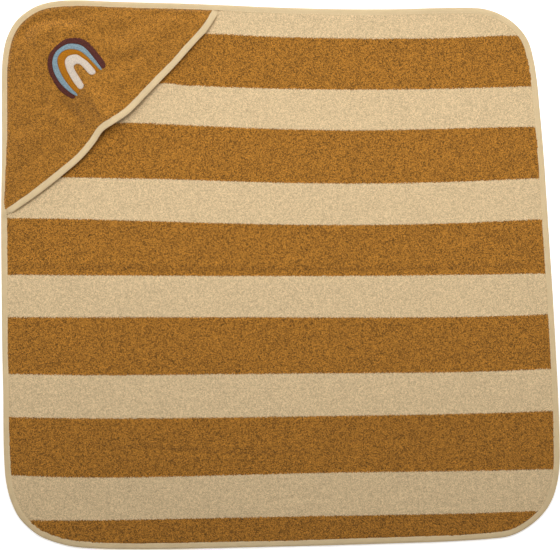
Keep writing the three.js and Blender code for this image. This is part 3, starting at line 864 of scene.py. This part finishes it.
def stitches(name, at, ahead, across, heights, length=2.35, wide=0.62, tall=0.42, sides=8):
    """Separate stitches, each a short fat capsule of thread along its line."""
    n = len(at)
    t = np.array([-1, -0.92, -0.7, -0.3, 0.3, 0.7, 0.92, 1.0])
    prof = np.array([0.12, 0.5, 0.86, 1, 1, 0.86, 0.5, 0.12])
    arch = -0.16 * t**2
    ang = np.arange(sides) * 2 * math.pi / sides
    k, m = len(t), sides
    along = (t * length / 2)[None, :, None] + np.zeros((n, 1, m))
    side = (prof[:, None] * np.cos(ang)[None] * wide / 2)[None] + np.zeros((n, 1, 1))
    up = (prof[:, None] * np.sin(ang)[None] * tall / 2 + arch[:, None])[None] + heights[:, None, None]
    xy = at[:, None, None] + ahead[:, None, None] * along[..., None] + across[:, None, None] * side[..., None]
    co = np.concatenate([xy, up[..., None]], 3).reshape(-1, 3)
    base = (np.arange(n) * k * m)[:, None, None]
    ring = np.arange(k - 1)[:, None] * m
    a = ring + np.arange(m)[None]
    b = ring + (np.arange(m)[None] + 1) % m
    quads = (np.stack([a, b, b + m, a + m], -1)[None] + base[..., None]).reshape(-1, 4)
    uv = np.stack([np.repeat(along.reshape(n, -1), 1, 1) / 100 + (np.arange(n) * 0.037)[:, None], np.repeat(np.tile(ang, k)[None], n, 0) * wide / 2 / 100], 2).reshape(-1, 2)
    o = mesh_object(name, co, quads, uv)
    import bmesh

    bm = bmesh.new()
    bm.from_mesh(o.data)
    bmesh.ops.holes_fill(bm, edges=[e for e in bm.edges if e.is_boundary], sides=0)
    bmesh.ops.recalc_face_normals(bm, faces=bm.faces)
    bm.to_mesh(o.data)
    bm.free()
    for p in o.data.polygons:
        p.use_smooth = True
    return o


def edge_stitches(name, upper):
    count = int(round(EDGE_LENGTH / STITCH_PITCH))
    s = (np.arange(count) + 0.5) * EDGE_LENGTH / count
    f = s / EDGE_LENGTH * len(EDGE)
    i = f.astype(int) % len(EDGE)
    line = EDGE + EDGE_IN * STITCH_INSET
    at = line[i]
    ahead = line[(i + 3) % len(line)] - line[i - 3]
    ahead /= np.linalg.norm(ahead, axis=1)[:, None]
    across = EDGE_IN[i]
    at = at + across * (0.14 * loop_noise(s, EDGE_LENGTH, 9, 42))[:, None]
    side = band_side(EDGE[i] + EDGE_IN[i] * 5)
    if upper:
        z = BIND_TOP - 0.3 + edge_raise(side) + edge_wave(s)
    else:
        z = np.full(count, 0.3) + edge_wave(s) * 0.9
    return stitches(name, at, ahead, across, z)


# ------------------------------------------------------------------ the hood
MOUTH_INSET = beside(EDGE_TREE, EDGE, EDGE_IN, MOUTH_LINE)[0]
KEEP = MOUTH_INSET > 4.0
BAND_LINE, BAND_OUT, BAND_INSET = MOUTH_LINE[KEEP], MOUTH_OUT[KEEP], MOUTH_INSET[KEEP]
BAND_AT = np.concatenate([[0], np.cumsum(np.linalg.norm(np.diff(BAND_LINE, axis=0), axis=1))])
HEM_LOW, HEM_HIGH = 3.0, 4.35      # the hood's own edge inside the binding


def satin_bands():
    """Each colour of the rainbow as two edges with as many stations, outer then inner."""
    curves = [resample(catmull(c, False), 700, False)[0] + SHIFT for c in RAINBOW]
    return [(curves[k], curves[k + 1]) for k in range(4)]


BANDS = satin_bands()
BAND_DOTS = np.concatenate([a[::4] * (1 - f) + b[::4] * f for a, b in BANDS for f in (0.12, 0.5, 0.88)])
BAND_TREE = tree_of(BAND_DOTS)


def pressed(pts):
    """1 where the embroidery holds the terry down, 0 away from it."""
    d = np.array([BAND_TREE.find((x, y, 0.0))[2] for x, y in pts])
    return smoothstep(5.5, 2.6, d), d


def hood_overlap(x, y):
    """How much further the hood's pile hangs over the towel's binding, near the low end of its mouth."""
    return 3.6 * smoothstep(250, 105, y) * (x < -340)


def hood_heights(x, y, inset, side):
    """Underside and top of the hood's cloth at points of it."""
    under, form = hood_under(x, y), hood_form(x, y)[0]
    over = inset + hood_overlap(x, y)
    k = smoothstep(8.5, 15, inset)
    low = HEM_LOW * (1 - k) + under * k
    puff = np.minimum(pillow(over - 1.83), np.sqrt(np.clip((-side - 3.6) / 4.6, 0, 1)))
    hem = np.where(inset < 20, HEM_HIGH * (1 - k) + (under + 1.4) * k, under + 1.4)
    # inside the band the cloth is pinched and carried in the middle of it
    grip = smoothstep(-7.5, -4.2, side)
    top = hem * (1 - puff) + np.maximum(form + HOOD_TERRY, under + 1.5) * puff
    low = low + grip * 1.1 * k
    top = top + grip * 1.0 * k * (1 - puff)
    return low, top


def make_hood():
    step = 1.5
    xs, ys, X, Y = cloth_grid(-411, -60, 62, 404, step)
    flat = np.stack([X.ravel(), Y.ravel()], 1)
    near_corner = rs(flat[:, 0], flat[:, 1])[1] < -310
    inset, ni = np.full(len(flat), -50.0), np.zeros(len(flat), int)
    side, ns = np.full(len(flat), 50.0), np.zeros(len(flat), int)
    inset[near_corner], ni[near_corner] = beside(EDGE_TREE, EDGE, EDGE_IN, flat[near_corner])
    side[near_corner], ns[near_corner] = beside(MOUTH_TREE, MOUTH_LINE, MOUTH_OUT, flat[near_corner])
    a_at, b_at = 3.2, 3.0
    inside = ((inset > a_at) & (side < b_at)).reshape(X.shape)
    rim = rim_of(inside)
    P = flat.copy()
    r = rim.ravel()
    by_edge = r & (inset - a_at < b_at - side)
    by_mouth = r & ~by_edge
    P[by_edge] += (a_at - inset[by_edge])[:, None] * EDGE_IN[ni[by_edge]]
    P[by_mouth] += (b_at - side[by_mouth])[:, None] * MOUTH_OUT[ns[by_mouth]]
    inset, side = inset.copy(), side.copy()
    inset[by_edge] = a_at
    side[by_mouth] = b_at
    free = np.clip((inset + hood_overlap(P[:, 0], P[:, 1]) - 8.0) / 1.6, 0, 1) * np.clip((-side - 3.8) / 1.5, 0, 1)
    rng = np.random.default_rng(17)
    P += rng.uniform(-0.4, 0.4, P.shape) * free[:, None]
    PX_, PY_ = P[:, 0].reshape(X.shape), P[:, 1].reshape(X.shape)
    low, top = hood_heights(P[:, 0], P[:, 1], inset, side)
    use = inside.ravel()
    painted_slope_shade = np.zeros(len(P))
    # painted shade on the hood's folds, from their slope towards the light
    painted_slope_shade[use] = painted_slope_shade_of(hood_top, P[use, 0], P[use, 1], 1.0) * np.clip((inset[use] - 9.5) / 6, 0, 1) * np.clip((-side[use] - 7) / 6, 0, 1)
    painted_slope_shade = painted_slope_shade.reshape(X.shape)
    hold = np.zeros(len(P))
    hold[use], dist = pressed(P[use])
    rnd = np.zeros(len(P))
    rnd[use] = smoothstep(4, 7, dist) * smoothstep(12, 8, dist)
    pile = loops(X.shape, 5)
    under = loops(X.shape, 6)
    top = top + 0.3 * pile.ravel() * free * (1 - 0.8 * hold) - 0.7 * hold + 0.25 * rnd
    low = low + 0.2 * under.ravel() * free
    low = np.minimum(low, top - 0.9)
    shape = X.shape
    uv_of = mm_uv
    return grid_solid("hood_cloth", xs, ys, inside, (PX_, PY_, top.reshape(shape)), (PX_, PY_, low.reshape(shape)), uv_of, {"pile": (pile, under), "painted_slope_shade": (painted_slope_shade, 0 * painted_slope_shade)})


def band_base(pts, inset):
    """Height of the hood band's underside along the mouth, and how much of its thickness it keeps."""
    k = smoothstep(7.0, 16.0, inset)
    under = hood_under(pts[..., 0], pts[..., 1])
    return (HEM_LOW - 0.4) * (1 - k) + under * k, 0.45 * (1 - k) + k


def make_hood_binding():
    section = tape_section(MOUTH_BAND, 0.3, 3.75, 0.6)
    n, m = len(BAND_LINE), len(section)
    s = BAND_AT[:, None]
    u = np.repeat(section[None, :, 0], n, 0)
    z = np.repeat(section[None, :, 1], n, 0)
    upper = z > 2.0
    length = BAND_AT[-1]
    tuck = np.exp(-(((u - 7.9) / 0.9) ** 2))
    z = z + np.where(upper, -1, 0.5) * tuck * (0.22 + 0.2 * pulse(s))
    wide = 1 + 0.045 * loop_noise(s, length, 33, 51) + 0.02 * loop_noise(s, length, 8, 52)
    u = u * wide + np.where(u > 8.8, 0.22 * (pulse(s) - 0.5) + 0.2 * loop_noise(s, length, 5, 53), 0)
    z = z + (0.13 * loop_noise(s, length, 4.2, 54) + 0.12 * loop_noise(s, length, 12, 55)) * smoothstep(0, 3, u) * np.where(upper, 1, -0.3)
    w = MOUTH_BAND / 2 - u
    xy = BAND_LINE[:, None] + BAND_OUT[:, None] * w[..., None]
    base, keep = band_base(BAND_LINE, BAND_INSET)
    tilt = hood_under(xy[..., 0], xy[..., 1]) - hood_under(BAND_LINE[:, 0], BAND_LINE[:, 1])[:, None]
    z = base[:, None] + z * keep[:, None] + tilt * smoothstep(7, 16, BAND_INSET)[:, None]
    rings = np.concatenate([xy, z[..., None]], 2)
    d = np.concatenate([[0], np.cumsum(np.linalg.norm(np.diff(section, axis=0), axis=1))])
    uv = np.stack([np.repeat(s, m, 1) / 100, np.repeat(d[None], n, 0) / 100], 2)
    return facing_out(sweep("hood_binding", rings, False, uv))


def hood_stitches(name, upper):
    length = BAND_AT[-1]
    count = int(length / STITCH_PITCH)
    s = (np.arange(count) + 0.5) * length / count
    x = np.interp(s, BAND_AT, BAND_LINE[:, 0])
    y = np.interp(s, BAND_AT, BAND_LINE[:, 1])
    ox = np.interp(s, BAND_AT, BAND_OUT[:, 0])
    oy = np.interp(s, BAND_AT, BAND_OUT[:, 1])
    inset = np.interp(s, BAND_AT, BAND_INSET)
    out = np.stack([ox, oy], 1)
    line = np.stack([x, y], 1)
    at = line + out * (MOUTH_BAND / 2 - 7.9 + 0.12 * loop_noise(s, length, 9, 61))[:, None]
    ahead = np.stack([oy, -ox], 1)
    base, keep = band_base(line, inset)
    tilt = (hood_under(at[:, 0], at[:, 1]) - hood_under(x, y)) * smoothstep(7, 16, inset)
    z = base + keep * (3.45 if upper else 0.42) + tilt
    ok = inset > 10
    return stitches(name, at[ok], ahead[ok], out[ok], z[ok])


def satin(name, outer, inner, seed, jag_out, jag_in, cap, grow=0.0, crest=4.8):
    """One colour of satin stitch: strands laid across the band, side by side."""
    rng = np.random.default_rng(seed)
    mid = (outer + inner) / 2
    length = np.sum(np.linalg.norm(np.diff(mid, axis=0), axis=1))
    per = 3
    strands = int(length / 0.82)
    n = strands * per + 1
    f = np.linspace(0, len(mid) - 1, n)
    pick = lambda line: np.stack([np.interp(f, np.arange(len(line)), line[:, k]) for k in (0, 1)], 1)
    a, b = pick(outer), pick(inner)
    k = np.minimum(np.arange(n) // per, strands - 1)
    ja, jb = rng.uniform(-1, 1, strands)[k] * jag_out, rng.uniform(-1, 1, strands)[k] * jag_in
    tall = rng.uniform(-0.1, 0.1, strands)[k]
    ridge = np.cos(2 * math.pi * (np.arange(n) % per) / per + math.pi)
    s = np.linspace(0, length, n)
    width = np.linalg.norm(b - a, axis=1)
    end = np.minimum(s, length - s)
    shape = np.sqrt(np.clip(1 - (1 - np.clip(end / cap, 0, 1)) ** 2, 0.02, 1))
    u = (b - a) / width[:, None]
    middle, half = (a + b) / 2, width / 2 * shape
    va = middle - u * (half + grow + ja * shape)[:, None]
    vb = middle + u * (half + jb * shape)[:, None]
    v = np.array([0, 0.04, 0.12, 0.26, 0.42, 0.58, 0.74, 0.88, 0.96, 1.0])
    dome = np.sqrt(np.clip(1 - np.abs(2 * v - 1) ** 6, 0, 1))
    top_xy = va[:, None] * (1 - v)[None, :, None] + vb[:, None] * v[None, :, None]
    under = hood_under(top_xy[..., 0], top_xy[..., 1])
    top_z = under + 3.1 + (crest - 3.1 + tall[:, None] + 0.1 * ridge[:, None]) * (0.5 + 0.5 * dome[None]) * (0.45 + 0.55 * shape[:, None])
    low_v = np.array([0.9, 0.5, 0.1])
    low_xy = va[:, None] * (1 - low_v)[None, :, None] + vb[:, None] * low_v[None, :, None]
    low_z = hood_under(low_xy[..., 0], low_xy[..., 1]) + 2.6
    rings = np.concatenate([np.concatenate([top_xy, top_z[..., None]], 2), np.concatenate([low_xy, low_z[..., None]], 2)], 1)
    across = np.concatenate([v, low_v])
    uv = np.stack([np.repeat(s[:, None], len(across), 1) / 100, across[None] * width.mean() / 100 + np.zeros((n, 1))], 2)
    return facing_out(sweep(name, rings, False, uv))


def make_backing():
    """The soft stabiliser sheet behind the embroidery."""
    centre = np.array([-296.0, 300.0]) + SHIFT
    rings, spokes, radius = 18, 120, 54.0
    rng = np.random.default_rng(71)
    ang = np.arange(spokes) * 2 * math.pi / spokes
    rr = np.linspace(0, 1, rings + 1)[1:] * radius
    wob = 0.5 * np.sin(5 * ang + 1) + 0.3 * np.sin(11 * ang + 2)
    pts = [centre[None]]
    for r_ in rr:
        rad = r_ + wob * (r_ / radius) ** 3
        pts.append(centre + np.stack([rad * np.cos(ang), rad * np.sin(ang)], 1))
    xy = np.concatenate(pts)
    crumple = 0.18 * value_noise(xy[:, 0], xy[:, 1], 9, 72) + 0.12 * value_noise(xy[:, 0], xy[:, 1], 4, 73)
    mid = hood_under(xy[:, 0], xy[:, 1]) - 0.62 + crumple
    n = len(xy)
    co = np.vstack([np.column_stack([xy, mid + 0.16]), np.column_stack([xy, mid - 0.16])])
    faces = []
    for i in range(rings - 1):
        for j in range(spokes):
            a = 1 + i * spokes + j
            b = 1 + i * spokes + (j + 1) % spokes
            faces.append((a, a + spokes, b + spokes, b))
    quads = np.array(faces)
    low = quads[:, ::-1] + n
    j = np.arange(spokes)
    tris = np.stack([np.zeros(spokes, int), 1 + j, 1 + (j + 1) % spokes], 1)
    e = 1 + (rings - 1) * spokes
    wall = np.stack([e + (j + 1) % spokes, e + j, e + j + n, e + (j + 1) % spokes + n], 1)
    o = mesh_object("embroidery_backing_sheet", co, np.vstack([quads, low, wall]), co[:, :2] / 100)
    import bmesh

    bm = bmesh.new()
    bm.from_mesh(o.data)
    bmesh.ops.holes_fill(bm, edges=[x for x in bm.edges if x.is_boundary], sides=0)
    bmesh.ops.recalc_face_normals(bm, faces=bm.faces)
    bm.to_mesh(o.data)
    bm.free()
    return o


def soft_backing():
    """Non-woven stabiliser: matted fibres."""
    m, t, shader = start("backing")
    k = node(t, "ShaderNodeVectorMath", operation="MULTIPLY")
    k.inputs[1].default_value = (100, 100, 100)
    uv = node(t, "ShaderNodeUVMap", uv_map="cloth")
    t.links.new(uv.outputs[0], k.inputs[0])
    fibre = noise_node(t, k.outputs[0], 1.3, 5.0, 0.7, 1.5)
    blot = noise_node(t, k.outputs[0], 0.12, 2.0, 0.5)
    v = math_node(t, "MULTIPLY", span_node(t, fibre, 0.3, 0.7, 0.86, 1.06), span_node(t, blot, 0.3, 0.7, 0.96, 1.03))
    grey = node(t, "ShaderNodeCombineColor")
    for s in (0, 1, 2):
        t.links.new(v, grey.inputs[s])
    t.links.new(mix_colour(t, 1.0, srgb(226, 220, 206), grey.outputs[0], "MULTIPLY"), shader.inputs["Base Color"])
    bump = node(t, "ShaderNodeBump")
    bump.inputs["Strength"].default_value = 0.4
    bump.inputs["Distance"].default_value = 0.0002
    t.links.new(fibre, bump.inputs["Height"])
    t.links.new(bump.outputs[0], shader.inputs["Normal"])
    shader.inputs["Roughness"].default_value = 0.9
    return m


# ------------------------------------------------------------------ build
towel = make_towel()
edge = make_edge_binding()
edge_top = edge_stitches("edge_stitches_top", True)
edge_under = edge_stitches("edge_stitches_under", False)
hood = make_hood()
mouth = make_hood_binding()
mouth_top = hood_stitches("hood_stitches_top", True)
mouth_under = hood_stitches("hood_stitches_under", False)
rainbow = [
    satin("rainbow_outer_band", *BANDS[0], 81, 0.42, 0.12, 4.0, 0.5),
    satin("rainbow_second_band", *BANDS[1], 82, 0.12, 0.12, 5.0),
    satin("rainbow_third_band", *BANDS[2], 83, 0.12, 0.12, 5.0),
    satin("rainbow_inner_band", *BANDS[3], 84, 0.12, 0.34, 4.5),
]
backing = make_backing()

# The hood's plan was measured at the height of the flat cloth. Seen from above it stands nearer, so each point moves in.
for o in (hood, mouth, mouth_top, mouth_under, backing, *rainbow):
    co = np.empty(len(o.data.vertices) * 3, np.float32)
    o.data.vertices.foreach_get("co", co)
    co = co.reshape(-1, 3)
    k = 1 - np.maximum(co[:, 2] - 0.0044, 0) / EYE
    co[:, 0] *= k
    co[:, 1] *= k
    o.data.vertices.foreach_set("co", co.ravel())
    o.data.update()

stripes = striped_terry()
brown = plain_terry("hood_terry", HOOD)
tape = woven_tape()
sewing = thread("sewing_thread", srgb(226, 206, 166), 0.6)
for o, m, s in (
    (towel, stripes, "striped_terry"),
    (edge, tape, "binding_tape"),
    (mouth, tape, "binding_tape"),
    (edge_top, sewing, "sewing_thread"),
    (edge_under, sewing, "sewing_thread"),
    (mouth_top, sewing, "sewing_thread"),
    (mouth_under, sewing, "sewing_thread"),
    (hood, brown, "hood_terry"),
    (backing, soft_backing(), "backing"),
    (rainbow[0], thread("embroidery_plum", (0.092, 0.023, 0.0165), 0.55, 0.8, 0.8), "embroidery_plum"),
    (rainbow[1], thread("embroidery_blue", (0.225, 0.315, 0.36), 0.55, 0.8, 0.5), "embroidery_blue"),
    (rainbow[2], thread("embroidery_ochre", (0.405, 0.146, 0.002), 0.55, 0.8, 0.5), "embroidery_ochre"),
    (rainbow[3], thread("embroidery_pink", (0.665, 0.56, 0.46), 0.6, 0.8, 0.25), "embroidery_pink"),
):
    o.data.materials.clear()
    o.data.materials.append(m)

for o in (towel, edge, edge_top, edge_under):
    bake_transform(o)
for o in (hood, mouth, mouth_top, mouth_under, backing, *rainbow):
    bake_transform(o)
    co = np.empty(len(o.data.vertices) * 3, np.float32)
    o.data.vertices.foreach_get("co", co)
    co = co.reshape(-1, 3).astype(float) * 1000

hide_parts("towel_main_panel", "towel_corner_panel")
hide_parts("edge_binding_main", "edge_binding_corner")
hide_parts("edge_needle_thread_main", "edge_needle_thread_corner")
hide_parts("edge_bobbin_thread_main", "edge_bobbin_thread_corner")
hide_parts("hood_panel")
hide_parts("hood_edge_binding")
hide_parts("hood_needle_thread")
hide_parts("hood_bobbin_thread")
for o, n in zip(rainbow, ("embroidery_outer_band", "embroidery_second_band", "embroidery_third_band", "embroidery_inner_band")):
    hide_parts(n)
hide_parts("embroidery_backing")

# ------------------------------------------------------------------ floor, light, camera
floor_mesh = bpy.data.meshes.new("floor")
floor_mesh.from_pydata([(-10, -10, 0), (10, -10, 0), (10, 10, 0), (-10, 10, 0)], [], [(0, 1, 2, 3)])
floor = bpy.data.objects.new("floor", floor_mesh)
bpy.context.scene.collection.objects.link(floor)
fm = bpy.data.materials.new("floor")
fm.use_nodes = True
fs = fm.node_tree.nodes["Principled BSDF"]
fs.inputs["Base Color"].default_value = (0.93, 0.93, 0.925, 1)
fs.inputs["Emission Color"].default_value = (1, 1, 1, 1)
fs.inputs["Emission Strength"].default_value = 0.42
fs.inputs["Roughness"].default_value = 0.9
fs.inputs["Specular IOR Level"].default_value = 0.1
floor_mesh.materials.append(fm)

# a pale wall all round, far off, so that no view looks past the floor
ring = [(9 * math.cos(k * math.pi / 48), 9 * math.sin(k * math.pi / 48)) for k in range(96)]
wall_mesh = bpy.data.meshes.new("backdrop")
wall_mesh.from_pydata([(x, y, z) for z in (0.0, 4.0) for x, y in ring], [], [((k + 1) % 96, k, k + 96, (k + 1) % 96 + 96) for k in range(96)])
for f in wall_mesh.polygons:
    f.use_smooth = True
wall = bpy.data.objects.new("backdrop", wall_mesh)
scene_root = bpy.context.scene.collection
scene_root.objects.link(wall)
wm = bpy.data.materials.new("backdrop")
wm.use_nodes = True
ws = wm.node_tree.nodes["Principled BSDF"]
ws.inputs["Base Color"].default_value = (0.5, 0.5, 0.5, 1)
ws.inputs["Emission Color"].default_value = (1, 0.995, 0.985, 1)
ws.inputs["Emission Strength"].default_value = 0.8
wall_mesh.materials.append(wm)


def area_light(name, at, towards, size, power, colour=(1, 1, 1)):
    d = bpy.data.lights.new(name, "AREA")
    d.shape = "RECTANGLE"
    d.size, d.size_y = size
    d.energy = power
    d.color = colour
    o = bpy.data.objects.new(name, d)
    o.location = at
    o.rotation_euler = (Vector(towards) - Vector(at)).to_track_quat("-Z", "Y").to_euler()
    o.visible_camera = False
    bpy.context.scene.collection.objects.link(o)
    return o


area_light("key", (-0.05, 1.22, 1.42), (0.03, 0.08, 0.0), (1.8, 0.6), 15.9)
area_light("overhead", (0.04, 0.21, 0.86), (0.04, 0.2, 0.0), (2.4, 0.5), 8.5)

world = bpy.data.worlds.new("studio")
world.use_nodes = True
world.node_tree.nodes["Background"].inputs[0].default_value = (1.0, 0.99, 0.975, 1)
world.node_tree.nodes["Background"].inputs[1].default_value = 0.05
scene = bpy.context.scene
scene.world = world
scene.view_settings.view_transform = "Standard"

camera_data = bpy.data.cameras.new("camera")
camera_data.lens = 85
camera_data.sensor_width = 36
camera_data.clip_end = 50
camera = bpy.data.objects.new("camera", camera_data)
camera.location = (-0.0007, -0.0004, 0.0044 + EYE)
camera.rotation_euler = (0, 0, 0)
scene.collection.objects.link(camera)
scene.camera = camera

bpy.context.view_layer.update()
